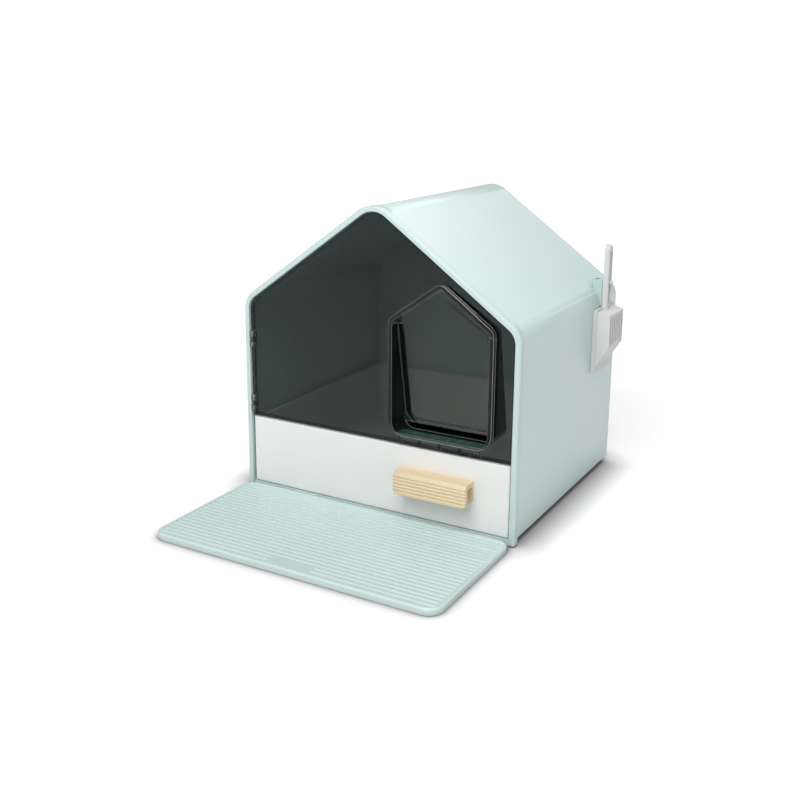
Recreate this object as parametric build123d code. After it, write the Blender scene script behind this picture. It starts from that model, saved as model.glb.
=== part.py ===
from build123d import *
import os
from math import cos, radians, tan

# A covered litter box shaped like a small gabled house: moulded hood, see-through front door with a cat
# flap, pull-out drawer, ribbed pedal in front and a scoop hung on the right eave.
# Millimetres, +Z up. z = 0 is the floor, x = 0 and y = 0 the middle of the house, and the front faces -Y.

# House
house_width = 450
house_depth = 395
eave_height = 300
roof_angle = 35.75
eave_radius = 33
apex_radius = 42
wall = 3

# Clearances and cutting allowances
fit_gap = 0.2
run_gap = 0.3
pin_gap = 0.05
overrun = 5
tiny = 0.001

# Front frame
bead_width = 8.5
bead_proud = 1.5
bead_round = 3.5
bead_edge = 0.8
frame_depth = 12
spigot_wall = 2.5
spigot_depth = 10
stop_width = 4.5
stop_thickness = 3
stop_low_gap = 13
stop_top_gap = 20

# Hood and base
hood_lift = 9
hood_rib = 3
base_floor = 3
base_lift = 6.5
plinth_inset = 25
base_wall_height = 30
rail_height = 9
rail_setback = 3
runner_width = 10
runner_side_gap = 75

# Front door
door_gap = 1
door_recess = 4
door_thickness = 3
door_bottom = 117
flange_wall = 2.5
flange_depth = 5

# Door hinges
hinge_low_gap = 20
hinge_top_gap = 63
hinge_length = 23
hinge_inset = 5.5
hinge_ear = 8
hinge_leaf = 2
hinge_margin = 1
knuckle_radius = 2.3
hinge_pin_radius = 1.25
pin_head_radius = 2.2
pin_head_height = 1

# Cat entrance
entry_side_gap = 27
ring_half_width = 82.5
ring_lift = 11
ring_eave_drop = 1
ring_width = 8
ring_proud = 6.5
ring_edge = 2.5
ring_eave_radius = 15
ring_apex_radius = 14
ring_foot_radius = 26
ring_foot_lap = 0.5
collar_wall = 2.5
collar_depth = 24
gusset_count = 5
gusset_drop = 9.5
gusset_width = 3
gusset_end_inset = 20
sill_thickness = 3
sill_depth = 20
sill_front_inset = 1.5
lip_height = 7
lip_thickness = 2.5
slot_length = 8
slot_width = 4
slot_pitch = 14
slot_rows = 2

# Cat flap
flap_lean = 11
flap_gap = 1.5
flap_foot_gap = 3
flap_border = 8
flap_border_thickness = 5
flap_pane = 2.5
flap_foot_radius = 20
pivot_drop = 4
pivot_setback = 8
flap_pin_radius = 2
flap_slot = 2.6

# Drawer
drawer_gap = 2.5
drawer_bottom = 10.2
drawer_top_gap = 2.8
drawer_shell = 3
drawer_flange = 10
drawer_edge = 1.2
tray_wall = 2.5
tray_rim = 3
tray_rim_height = 2
tray_top_drop = 2.2
tray_side_gap = 2.5
tray_rear_gap = 6
tray_corner = 12
tray_floor_edge = 5
boss_radius = 5
boss_side_gap = 29
boss_low_gap = 23.8
boss_top_gap = 22

# Drawer handle
handle_side_gap = 53
handle_length = 114
handle_lift = 40.8
handle_height = 33
handle_reach = 26.5
handle_front = 6.5
handle_top = 7
handle_back = 3.8
handle_top_round = 7
handle_hollow_round = 4
handle_corner = 6
groove_count = 5
handle_groove_pitch = 5
handle_groove_radius = 1.6
handle_groove_depth = 0.9
handle_screw_spacing = 70

# Screws
post_sides = 12
screw_head_radius = 3.2
screw_head_height = 2
screw_shank_radius = 1.5
handle_screw_length = 6
tray_screw_length = 8

# Pedal
pedal_side_inset = 3
pedal_depth = 221
pedal_height = 9.5
pedal_gap = 2
pedal_corner = 20
pedal_edge = 2
pedal_rim = 6
pedal_deck = 5
pedal_skirt = 3
pedal_rib = 2
pedal_rib_lift = 2
pedal_ribs = 5
pedal_groove_pitch = 9.1
pedal_groove_width = 4.2
pedal_groove_floor = 1.8
pedal_groove_depth = 1.5
pad_width = 68
pad_depth = 10
tongue_width = 40
tongue_height = 4
tongue_lift = 2.5
tongue_side_gap = 105

# Scoop and its hook
scoop_rear_gap = 72
scoop_mouth_width = 76
scoop_back_width = 66
scoop_depth = 25
scoop_drop = 23
scoop_length = 97
scoop_lip = 39
scoop_shoulder = 6
scoop_wall = 2
scoop_rim = 1.5
scoop_rim_depth = 6
scoop_slot_width = 3.6
scoop_slot_count = 7
scoop_slot_margin = 5
scoop_handle_length = 99
scoop_handle_width = 20
scoop_handle_thickness = 8
scoop_handle_offset = 3
scoop_handle_edge = 2
scoop_groove_width = 9
scoop_groove_depth = 2.5
scoop_groove_end = 14
hang_rise = 12
hang_width = 9
hang_length = 17
peg_radius = 3.6
peg_tip = 4
hook_width = 24
hook_rise = 21
hook_bottom_gap = 2
hook_plate = 3
hook_reach = 17.5
hook_slant = 6
hook_round = 4
hook_screw_inset = 8
hook_screw_length = 18

# Places worked out from the sizes above
front = -house_depth / 2
back = house_depth / 2
half_width = house_width / 2
roof_slope = tan(radians(roof_angle))
eave_pull = tan(radians(90 - roof_angle) / 2)
hood_front = front + frame_depth
panel_face = back - wall
jamb = half_width - bead_width
hood_outer = half_width - bead_proud
hood_inner = hood_outer - wall
door_inset = bead_width + door_gap
door_face = front + door_recess
door_back = door_face + door_thickness
flange_back = door_back + flange_depth
hinge_heights = (door_bottom + hinge_low_gap, eave_height - hinge_top_gap)
hinge_x = hinge_inset - jamb
hinge_y = front
notch_edge = hinge_x + knuckle_radius + hinge_margin
spigot_foot = base_wall_height + hood_rib + hinge_margin
ring_bottom = door_bottom + ring_lift
ring_eave = eave_height - ring_eave_drop
entry_x = jamb - entry_side_gap - ring_half_width
collar_inset = ring_width - collar_wall
collar_floor = ring_foot_lap + collar_wall
sill_top = ring_bottom + collar_floor + sill_thickness
collar_eave = ring_eave - ring_width * eave_pull
pivot_y = door_face + pivot_setback
pivot_z = collar_eave - pivot_drop
lip_top = sill_top + lip_height
flap_half_depth = flap_border_thickness / 2 / cos(radians(flap_lean))
lip_back = pivot_y + (pivot_z - lip_top) * tan(radians(flap_lean)) - flap_half_depth - run_gap
drawer_half = jamb - drawer_gap
drawer_top = door_bottom - drawer_top_gap
drawer_back = door_face + drawer_flange
drawer_shell_back = door_face + drawer_shell
base_half = hood_inner - fit_gap
base_front = hood_front + fit_gap
base_back = panel_face - fit_gap
plinth_half = base_half - plinth_inset
plinth_back = base_back - plinth_inset
rail_front = front + rail_setback
tray_half = jamb - tray_side_gap - tray_rim
tray_front = drawer_back + fit_gap + tray_rim
tray_back = base_back - wall - tray_rear_gap - tray_rim
tray_top = drawer_top - tray_top_drop
boss_x = drawer_half - boss_side_gap
boss_heights = (drawer_bottom + boss_low_gap, drawer_top - boss_top_gap)
runner_place = half_width - runner_side_gap
handle_x = drawer_half - handle_side_gap - handle_length / 2
handle_low = drawer_bottom + handle_lift
handle_high = handle_low + handle_height
pedal_rear = front - pedal_gap
pedal_width = house_width - 2 * pedal_side_inset
tongue_place = half_width - tongue_side_gap
scoop_y = back - scoop_rear_gap
scoop_high = eave_height - scoop_drop
scoop_low = scoop_high - scoop_length
scoop_back_low = scoop_low + scoop_lip
scoop_back_high = scoop_high - scoop_shoulder
scoop_handle_top = scoop_high + scoop_handle_length
scoop_mouth = hood_outer + run_gap
scoop_handle_back = scoop_mouth + scoop_handle_offset
hook_face = scoop_handle_back - run_gap
hook_bottom = scoop_high + hook_bottom_gap
hook_top = eave_height + hook_rise
hook_screw_x = hood_outer - hook_screw_inset
hang_height = eave_height + hang_rise


def slab(profile, near, far):
    """Extrude a front-view profile, drawn in x and z, between two depths."""
    plane = Plane(origin=(0, far, 0), x_dir=(1, 0, 0), z_dir=(0, -1, 0))
    return extrude(plane * profile, amount=far - near)


def bar(profile, left, right):
    """Extrude a side-view profile, drawn in y and z, between two places along x."""
    plane = Plane(origin=(left, 0, 0), x_dir=(0, 1, 0), z_dir=(1, 0, 0))
    return extrude(plane * profile, amount=right - left)


def block(x_span, y_span, z_span):
    """Box between the low and high values given for each axis."""
    spans = (x_span, y_span, z_span)
    size = [high - low for low, high in spans]
    middle = [(low + high) / 2 for low, high in spans]
    return Pos(*middle) * Box(*size)


def rod(radius, start, end):
    """Round bar from one point to another."""
    run = Vector(*end) - Vector(*start)
    return extrude(Plane(origin=start, z_dir=run) * Circle(radius), amount=run.length)


def post(radius, start, end):
    """Bar with flat sides, for hidden fasteners and the bosses that take them."""
    run = Vector(*end) - Vector(*start)
    section = RegularPolygon(radius, post_sides)
    return extrude(Plane(origin=start, z_dir=run) * section, amount=run.length)


def polygon(*points):
    """Flat face with straight sides."""
    return make_face(Polyline(*points, close=True))


def rectangle(across, up):
    """Flat rectangle between low and high values across and up."""
    low, high = up
    left, right = across
    return polygon((left, low), (right, low), (right, high), (left, high))


def house_shape(half, foot, eave, apex_round, eave_round, foot_round=0, middle=0):
    """Front view of a gabled house with rounded corners."""
    apex = eave + half * roof_slope
    shape = polygon((-half, foot), (half, foot), (half, eave), (0, apex), (-half, eave))
    corners = [(foot, foot_round), (eave, eave_round), (apex, apex_round)]
    for height, radius in corners:
        if radius > 0:
            picked = [v for v in shape.vertices() if abs(v.Y - height) < tiny]
            shape = fillet(picked, radius)
    return Pos(middle, 0) * shape


def gable(inset, foot, foot_round=0):
    """The house's front outline, drawn in by an inset and cut off at a height."""
    eave = eave_height - inset * eave_pull
    return house_shape(half_width - inset, foot, eave, apex_radius - inset, eave_radius - inset, foot_round)


def entry(inset, rise):
    """The entrance's outline, drawn in by an inset and raised at its foot."""
    return house_shape(
        ring_half_width - inset,
        ring_bottom + rise,
        ring_eave - inset * eave_pull,
        ring_apex_radius - inset,
        ring_eave_radius - inset,
        ring_foot_radius - inset,
        entry_x,
    )


def pan_head_screw(seat, direction, length):
    """Screw whose head stands behind the seat point and whose shank runs forward from it."""
    run = Vector(*direction)
    start = Vector(*seat)
    shank = post(screw_shank_radius, tuple(start), tuple(start + run * length))
    head = post(screw_head_radius, tuple(start - run * screw_head_height), tuple(start))
    return shank + head


def screw_hole(seat, direction, length):
    """Clearance hole for such a screw's shank, starting at its seat."""
    run = Vector(*direction)
    start = Vector(*seat)
    return post(screw_shank_radius + pin_gap, tuple(start), tuple(start + run * length))


# The screws' seats
handle_screw_seats = [
    (handle_x + side * handle_screw_spacing / 2, drawer_shell_back, (handle_low + handle_high) / 2)
    for side in (-1, 1)
]
tray_screw_seats = [
    (side * boss_x, tray_front + tray_wall, height) for side in (-1, 1) for height in boss_heights
]
hook_screw_seat = (hook_screw_x, scoop_y, hook_top - screw_head_height)


def make_front_frame():
    """Rounded bead with two legs, a spigot for the hood and a stop behind the door's free edge."""
    bead = slab(gable(0, 0, bead_round + tiny), front, hood_front)
    bead = fillet(bead.edges().group_by(Axis.Y)[0], bead_round)
    bead -= slab(gable(bead_width, -overrun), front - overrun, hood_front + overrun)
    mouth = gable(bead_width - bead_edge, -overrun).face()
    face_edges = bead.edges().group_by(Axis.Y)[0]
    bead = chamfer([e for e in face_edges if mouth.is_inside((e.center().X, e.center().Z, 0))], bead_edge)
    plug_inset = half_width - base_half
    plug = gable(plug_inset, spigot_foot) - gable(plug_inset + spigot_wall, -overrun)
    bead += slab(plug, hood_front - spigot_wall, hood_front + spigot_depth)
    stop_front = flange_back + run_gap
    stop_depth = (stop_front, stop_front + stop_thickness)
    stop_height = (door_bottom + stop_low_gap, eave_height - stop_top_gap)
    return bead + block((jamb - stop_width, jamb + spigot_wall), stop_depth, stop_height)


def make_hood_shell():
    """Side walls and roof in one rounded shell, with a rib on each side that sits on the base."""
    shell = slab(gable(bead_proud, hood_lift) - gable(bead_proud + wall, -overrun), hood_front, panel_face)
    rib_span = (hood_front + spigot_depth + hinge_margin, panel_face - spigot_depth - hinge_margin)
    rib_height = (base_wall_height, base_wall_height + hood_rib)
    for side in (-1, 1):
        ends = sorted((side * (base_half - wall), side * (hood_inner + wall / 2)))
        shell += block(ends, rib_span, rib_height)
    return shell - screw_hole(hook_screw_seat, (0, 0, -1), hook_screw_length + overrun)


def make_rear_panel():
    """Gable that caps the back, with a spigot inside the hood and a raised border."""
    panel = slab(gable(bead_proud, hood_lift), panel_face, back)
    panel = chamfer(panel.edges().group_by(Axis.Y)[-1], wall / 2)
    plug_inset = half_width - base_half
    plug = gable(plug_inset, spigot_foot) - gable(plug_inset + spigot_wall, -overrun)
    panel += slab(plug, panel_face - spigot_depth, panel_face)
    return panel


def make_base_pan():
    """Shallow pan on a narrower plinth, with two runners for the drawer and a front rail that holds the pedal."""
    shelf = base_lift + base_floor
    pan = block((-base_half, base_half), (base_front, base_back), (base_lift, base_wall_height))
    pan += block((-plinth_half, plinth_half), (base_front, plinth_back), (0, shelf))
    pan -= block(
        (wall - base_half, base_half - wall),
        (base_front - overrun, base_back - wall),
        (shelf, base_wall_height + overrun),
    )
    pan -= block(
        (wall - plinth_half, plinth_half - wall),
        (base_front - overrun, plinth_back - wall),
        (base_floor, shelf + overrun),
    )
    rail_half = jamb - run_gap
    pan += block((-rail_half, rail_half), (rail_front, hood_front), (0, rail_height))
    pan += block((-plinth_half, plinth_half), (hood_front, base_front + wall), (0, base_floor))
    runner_span = (base_front, plinth_back)
    for side in (-1, 1):
        middle = side * runner_place
        ends = (middle - runner_width / 2, middle + runner_width / 2)
        pan += block(ends, runner_span, (0, drawer_bottom - run_gap))
        middle = side * tongue_place
        half = tongue_width / 2 + run_gap
        slot_height = (tongue_lift - run_gap, tongue_lift + tongue_height + run_gap)
        slot_depth = (rail_front - overrun, hood_front - wall + run_gap)
        pan -= block((middle - half, middle + half), slot_depth, slot_height)
    return pan


def hinge_span(height):
    """Lowest and highest point of the hinge at a height."""
    return (height - hinge_length / 2, height + hinge_length / 2)


def make_hinge_bracket(height):
    """Leaf on the left jamb with two ears that carry the hinge pin."""
    low, high = hinge_span(height)
    bracket = block((-jamb, hinge_leaf - jamb), (door_face, hood_front), (low, high))
    for start in (low, high - hinge_ear):
        bracket += rod(knuckle_radius, (hinge_x, hinge_y, start), (hinge_x, hinge_y, start + hinge_ear))
        depth_span = (hinge_y, door_face + 2 * knuckle_radius)
        bracket += block((-jamb, hinge_x), depth_span, (start, start + hinge_ear))
    bore_ends = [(hinge_x, hinge_y, low - overrun), (hinge_x, hinge_y, high + overrun)]
    return bracket - rod(hinge_pin_radius + pin_gap, *bore_ends)


def make_hinge_pin(height):
    """Headed pin through the bracket's ears and the door's knuckle."""
    low, high = hinge_span(height)
    pin = rod(hinge_pin_radius, (hinge_x, hinge_y, low), (hinge_x, hinge_y, high))
    return pin + rod(pin_head_radius, (hinge_x, hinge_y, high), (hinge_x, hinge_y, high + pin_head_height))


def make_door_panel():
    """Tinted sheet with a return flange, a hole for the entrance and a knuckle at each hinge."""
    panel = slab(gable(door_inset, door_bottom), door_face, door_back)
    rim = gable(door_inset, door_bottom) - gable(door_inset + flange_wall, door_bottom + flange_wall)
    panel += slab(rim, door_back, flange_back)
    hole = entry(collar_inset - fit_gap, ring_foot_lap - fit_gap)
    panel -= slab(hole, door_face - overrun, door_back + overrun)
    for height in hinge_heights:
        low, high = hinge_span(height)
        notch_top = high + pin_head_height + hinge_margin
        depth_span = (door_face - overrun, flange_back + overrun)
        panel -= block((-half_width, notch_edge), depth_span, (low - hinge_margin, notch_top))
        start = low + hinge_ear + run_gap
        end = high - hinge_ear - run_gap
        panel += rod(knuckle_radius, (hinge_x, hinge_y, start), (hinge_x, hinge_y, end))
        panel += block((hinge_x, notch_edge + hinge_margin), (hinge_y, door_back), (start, end))
        panel -= rod(hinge_pin_radius + pin_gap, (hinge_x, hinge_y, low), (hinge_x, hinge_y, high))
    return panel


def lean_cutter():
    """Block behind the leaning plane that ends the entrance's tunnel."""
    reach = house_depth
    cutter = Pos(0, reach / 2, 0) * Box(reach, reach, reach + eave_height)
    return Pos(entry_x, door_face + collar_depth, ring_eave) * Rot(flap_lean, 0, 0) * cutter


def make_entry_collar():
    """House-shaped bezel, a wedge-shaped tunnel with a lip that stops the flap, and gussets under the foot."""
    ring_front = door_face - ring_proud
    ring = slab(entry(0, 0), ring_front, door_face)
    ring = chamfer(ring.edges().group_by(Axis.Y)[0], ring_edge)
    tunnel_end = door_face + collar_depth + (ring_eave - ring_bottom) * tan(radians(flap_lean)) + overrun
    ring += slab(entry(collar_inset, ring_foot_lap), ring_front + ring_edge, tunnel_end)
    ring -= slab(entry(ring_width, collar_floor), ring_front - overrun, tunnel_end + overrun)
    ring -= lean_cutter()
    span = (entry_x - ring_half_width, entry_x + ring_half_width)
    lip = entry(collar_inset, ring_foot_lap) & rectangle(span, (ring_bottom, lip_top))
    ring += slab(lip, lip_back - lip_thickness, lip_back)
    first = entry_x - ring_half_width + gusset_end_inset
    spacing = (2 * ring_half_width - 2 * gusset_end_inset) / (gusset_count - 1)
    gusset_reach = ring_proud - ring_edge
    wedge = polygon(
        (door_face, ring_bottom + collar_floor),
        (door_face - gusset_reach, ring_bottom + collar_floor),
        (door_face, ring_bottom - gusset_drop),
    )
    for step in range(gusset_count):
        middle = first + step * spacing
        ring += bar(wedge, middle - gusset_width / 2, middle + gusset_width / 2)
    outer = ring_half_width + overrun
    bore_radius = flap_pin_radius + pin_gap
    ring -= rod(bore_radius, (entry_x - outer, pivot_y, pivot_z), (entry_x + outer, pivot_y, pivot_z))
    slot_height = (pivot_z - flap_slot / 2, pivot_z + flap_slot / 2)
    ring -= block((entry_x - outer, entry_x + outer), (ring_front - overrun, pivot_y), slot_height)
    return ring


def make_entry_sill():
    """Slotted strip along the front of the entrance's floor."""
    half = ring_half_width - ring_foot_radius
    near = door_face - ring_proud + sill_front_inset
    low = ring_bottom + collar_floor
    bed = entry(ring_width + fit_gap, collar_floor)
    span = (entry_x - ring_half_width, entry_x + ring_half_width)
    sill = slab(bed & rectangle(span, (low, sill_top)), near, near + sill_depth)
    count = int((2 * half - slot_length) / slot_pitch)
    row_pitch = sill_depth / (slot_rows + 1)
    for row in range(slot_rows):
        depth = near + (row + 1) * row_pitch
        for step in range(count):
            middle = entry_x + (step - (count - 1) / 2) * slot_pitch
            ends = (middle - slot_length / 2, middle + slot_length / 2)
            depth_span = (depth - slot_width / 2, depth + slot_width / 2)
            sill -= block(ends, depth_span, (low - overrun, sill_top + overrun))
    return sill


def make_cat_flap():
    """House-shaped pane with a thicker border, leaning inward from its pivots."""
    lean = radians(flap_lean)
    half = ring_half_width - ring_width - flap_gap
    foot = (sill_top + flap_foot_gap - pivot_z) / cos(lean)
    eave = pivot_drop - flap_gap
    outer_radii = (ring_apex_radius - ring_width, ring_eave_radius - ring_width)
    outer = house_shape(half, foot, eave, *outer_radii, flap_foot_radius)
    inner_half = half - flap_border
    inner_eave = eave - flap_border * eave_pull
    inner_foot_radius = flap_foot_radius - flap_border
    inner = house_shape(inner_half, foot + flap_border, inner_eave, *outer_radii, inner_foot_radius)
    flap = slab(outer - inner, -flap_border_thickness / 2, flap_border_thickness / 2)
    flap += slab(inner, -flap_pane / 2, flap_pane / 2)
    flap -= rod(flap_pin_radius + pin_gap, (-half - overrun, 0, 0), (flap_border - half, 0, 0))
    flap -= rod(flap_pin_radius + pin_gap, (half - flap_border, 0, 0), (half + overrun, 0, 0))
    return Pos(entry_x, pivot_y, pivot_z) * Rot(flap_lean, 0, 0) * flap


def make_flap_pins():
    """Two short pins that carry the flap in the collar's side walls."""
    inner = ring_half_width - ring_width - flap_gap - flap_border + pin_gap
    outer = ring_half_width - collar_inset - fit_gap
    pins = []
    for side in (-1, 1):
        start = (entry_x + side * inner, pivot_y, pivot_z)
        end = (entry_x + side * outer, pivot_y, pivot_z)
        pins.append(rod(flap_pin_radius, start, end))
    return Compound(children=pins)


def make_drawer_front():
    """Hollow-backed white panel with bosses for the tray's screws."""
    panel = block((-drawer_half, drawer_half), (door_face, drawer_back), (drawer_bottom, drawer_top))
    panel = chamfer(panel.edges().group_by(Axis.Y)[0], drawer_edge)
    panel -= block(
        (drawer_shell - drawer_half, drawer_half - drawer_shell),
        (drawer_shell_back, drawer_back + overrun),
        (drawer_bottom + drawer_shell, drawer_top - drawer_shell),
    )
    for seat in tray_screw_seats:
        x, _, z = seat
        panel += post(boss_radius, (x, drawer_shell_back - drawer_shell / 2, z), (x, tray_front, z))
        panel -= screw_hole(seat, (0, -1, 0), tray_screw_length + pin_gap)
    for seat in handle_screw_seats:
        panel -= screw_hole(seat, (0, -1, 0), drawer_shell + overrun)
    return panel


def tray_shape(inset, corner):
    """Plan of the tray with rounded corners, drawn in by an inset."""
    depth = tray_back - tray_front - 2 * inset
    return Pos(0, (tray_front + tray_back) / 2) * RectangleRounded(2 * (tray_half - inset), depth, corner)


def make_litter_tray():
    """Open box with rounded corners, a turned-out rim and a bevelled floor."""
    height = tray_top - drawer_bottom
    plan = Plane(origin=(0, 0, tray_top))
    outside = tray_shape(0, tray_corner)
    tray = extrude(plan * outside, amount=-height)
    tray = chamfer(tray.edges().group_by(Axis.Z)[0], tray_floor_edge)
    rim = tray_shape(-tray_rim, tray_corner + tray_rim)
    tray += extrude(plan * rim, amount=-tray_rim_height)
    inside = tray_shape(tray_wall, tray_corner - tray_wall)
    cavity = extrude(plan * inside, amount=tray_wall - height)
    cavity = chamfer(cavity.edges().group_by(Axis.Z)[0], tray_floor_edge)
    tray -= cavity
    for seat in tray_screw_seats:
        tray -= screw_hole(seat, (0, -1, 0), tray_wall + overrun)
    return tray


def make_drawer_handle():
    """Grooved wooden channel, open below and at its ends, that is gripped from underneath."""
    face = door_face - handle_reach
    outer = rectangle((face, door_face), (handle_low, handle_high))
    top_front = [v for v in outer.vertices() if v.X < face + tiny and v.Y > handle_high - tiny]
    outer = fillet(top_front, handle_top_round)
    finger_space = (face + handle_front, door_face - handle_back)
    inside = rectangle(finger_space, (handle_low - overrun, handle_high - handle_top))
    inside = fillet(inside.vertices().group_by(Axis.Y)[-1], handle_hollow_round)
    left = handle_x - handle_length / 2
    right = handle_x + handle_length / 2
    handle = bar(outer - inside, left, right)
    lower = handle.edges().filter_by(Axis.Y).group_by(Axis.Z)[0]
    handle = fillet(lower, handle_corner)
    groove_axis = face - handle_groove_radius + handle_groove_depth
    first = (handle_low + handle_high - (groove_count - 1) * handle_groove_pitch) / 2 - handle_groove_radius
    for step in range(groove_count):
        height = first + step * handle_groove_pitch
        groove_ends = [(left - overrun, groove_axis, height), (right + overrun, groove_axis, height)]
        handle -= rod(handle_groove_radius, *groove_ends)
    for seat in handle_screw_seats:
        handle -= screw_hole(seat, (0, -1, 0), handle_screw_length + pin_gap)
    return handle


def make_handle_screws():
    """Screws from inside the drawer front into the handle's back."""
    screws = [pan_head_screw(seat, (0, -1, 0), handle_screw_length) for seat in handle_screw_seats]
    return Compound(children=screws)


def make_tray_screws():
    """Screws from inside the tray into the drawer front's bosses."""
    screws = [pan_head_screw(seat, (0, -1, 0), tray_screw_length) for seat in tray_screw_seats]
    return Compound(children=screws)


def make_pedal_plate():
    """Rounded plate with grooves across it, a bare pad in front, ribs below and two tongues behind."""
    middle = pedal_rear - pedal_depth / 2
    plan = Pos(0, middle) * RectangleRounded(pedal_width, pedal_depth, pedal_corner)
    plate = extrude(plan, amount=pedal_height)
    plate = chamfer(plate.edges().group_by(Axis.Z)[-1], pedal_edge)
    hollow_width = pedal_width - 2 * pedal_skirt
    hollow_depth = pedal_depth - 2 * pedal_skirt
    hollow = Pos(0, middle) * RectangleRounded(hollow_width, hollow_depth, pedal_corner - pedal_skirt)
    plate -= extrude(hollow, amount=pedal_height - pedal_deck)
    rib_span = (middle - hollow_depth / 2, middle + hollow_depth / 2)
    for step in range(pedal_ribs):
        x = (step - (pedal_ribs - 1) / 2) * pedal_width / (pedal_ribs + 1)
        rib_height = (pedal_rib_lift, pedal_height - pedal_deck)
        plate += block((x - pedal_rib / 2, x + pedal_rib / 2), rib_span, rib_height)
    field = pedal_depth - 2 * pedal_rim
    groove_total = int(field / pedal_groove_pitch) + 1
    groove_floor = pedal_height - pedal_groove_depth
    reach = pedal_width / 2 - pedal_rim
    for step in range(groove_total):
        depth = middle + (step - (groove_total - 1) / 2) * pedal_groove_pitch
        ends = [(-reach, reach)]
        if depth < pedal_rear - pedal_depth + pad_depth:
            ends = [(pedal_corner / 2 - reach, -pad_width / 2), (pad_width / 2, reach - pedal_corner / 2)]
        for left, right in ends:
            groove = polygon(
                (depth - pedal_groove_floor / 2, groove_floor),
                (depth + pedal_groove_floor / 2, groove_floor),
                (depth + pedal_groove_width / 2, pedal_height),
                (depth - pedal_groove_width / 2, pedal_height),
            )
            plate -= bar(groove, left, right)
    tongue_end = hood_front - wall
    for side in (-1, 1):
        place = side * tongue_place
        span = (place - tongue_width / 2, place + tongue_width / 2)
        tongue_span = (pedal_rear - pedal_skirt, tongue_end)
        plate += block(span, tongue_span, (tongue_lift, tongue_lift + tongue_height))
    return plate


def scoop_body(inset, mouth_reach):
    """Tapered body of the scoop, from its mouth beside the wall to its outer face, drawn in by an inset."""
    inner = scoop_mouth - mouth_reach
    outer = scoop_mouth + scoop_depth - inset
    side_view = polygon(
        (inner, scoop_low + inset),
        (outer, scoop_back_low + inset),
        (outer, scoop_back_high - inset),
        (inner, scoop_high - inset),
    )
    half = scoop_mouth_width / 2 - inset
    back_half = scoop_back_width / 2 - inset
    plan = polygon(
        (inner, scoop_y - half),
        (outer, scoop_y - back_half),
        (outer, scoop_y + back_half),
        (inner, scoop_y + half),
    )
    upright = extrude(Plane(origin=(0, 0, scoop_low)) * plan, amount=scoop_length)
    return slab(side_view, scoop_y - scoop_mouth_width, scoop_y + scoop_mouth_width) & upright


def make_litter_scoop():
    """Slotted scoop with a flat lip and a channelled handle that has a hanging hole."""
    rim_reach = scoop_mouth_width / 2 + scoop_rim
    pan = block(
        (scoop_mouth, scoop_mouth + scoop_rim_depth),
        (scoop_y - rim_reach, scoop_y + rim_reach),
        (scoop_low - scoop_rim, scoop_high + scoop_rim),
    )
    pan = pan + scoop_body(0, 0) - scoop_body(scoop_wall, overrun)
    slot_span = scoop_back_width - 2 * scoop_slot_margin
    pitch = (slot_span - scoop_slot_width) / (scoop_slot_count - 1)
    outer_face = scoop_mouth + scoop_depth
    for step in range(scoop_slot_count):
        y = scoop_y + (step - (scoop_slot_count - 1) / 2) * pitch
        depth_span = (y - scoop_slot_width / 2, y + scoop_slot_width / 2)
        height_span = (scoop_back_low + scoop_slot_margin, scoop_back_high - scoop_slot_margin)
        pan -= block((outer_face - scoop_wall - overrun, outer_face + overrun), depth_span, height_span)
    handle_half = scoop_handle_width / 2
    root = scoop_back_high - scoop_wall
    round_end = scoop_handle_top - handle_half
    outline = rectangle((scoop_y - handle_half, scoop_y + handle_half), (root, round_end))
    outline += Pos(scoop_y, round_end) * Circle(handle_half)
    handle_face = scoop_handle_back + scoop_handle_thickness
    handle = bar(outline, scoop_handle_back, handle_face)
    handle = chamfer(handle.edges().group_by(Axis.X)[-1], scoop_handle_edge)
    channel_length = scoop_handle_top - root - 2 * scoop_groove_end
    channel = SlotCenterToCenter(channel_length, scoop_groove_width, rotation=90)
    channel = Pos(scoop_y, (scoop_handle_top + root) / 2) * channel
    handle -= bar(channel, handle_face - scoop_groove_depth, handle_face + overrun)
    hole = Pos(scoop_y, hang_height) * SlotCenterToCenter(hang_length - hang_width, hang_width, rotation=90)
    handle -= bar(hole, scoop_handle_back - overrun, handle_face + overrun)
    handle -= scoop_body(scoop_wall, overrun)
    return pan + handle


def make_scoop_hook():
    """Bracket that sits over the eave, with a flat top and a round peg for the scoop."""
    tip = hook_face - hook_reach
    shape = polygon(
        (tip + 2 * hook_slant, hook_bottom), (hook_face, hook_bottom), (hook_face, hook_top), (tip, hook_top)
    )
    upper = [v for v in shape.vertices() if v.X > hook_face - tiny and v.Y > hook_top - tiny]
    shape = fillet(upper, hook_round)
    low, high = scoop_y - hook_width / 2, scoop_y + hook_width / 2
    hook = slab(shape, low, high) - slab(gable(bead_proud, 0), low - overrun, high + overrun)
    hook = hook.solids().sort_by(SortBy.VOLUME)[-1]
    lower_corners = hook.edges().filter_by(Axis.X).group_by(Axis.Z)[0]
    hook = fillet(lower_corners, hook_round)
    peg_height = hang_height + hang_length / 2 - peg_radius - run_gap
    peg_end = scoop_handle_back + scoop_handle_thickness + peg_tip
    hook += rod(peg_radius, (hook_face - hook_plate, scoop_y, peg_height), (peg_end, scoop_y, peg_height))
    hook -= post(screw_head_radius + pin_gap, (hook_screw_x, scoop_y, hook_top + overrun), hook_screw_seat)
    return hook - screw_hole(hook_screw_seat, (0, 0, -1), hook_screw_length + overrun)


def make_hook_screw():
    """Screw that holds the hook down on the roof."""
    return pan_head_screw(hook_screw_seat, (0, 0, -1), hook_screw_length)


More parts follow.
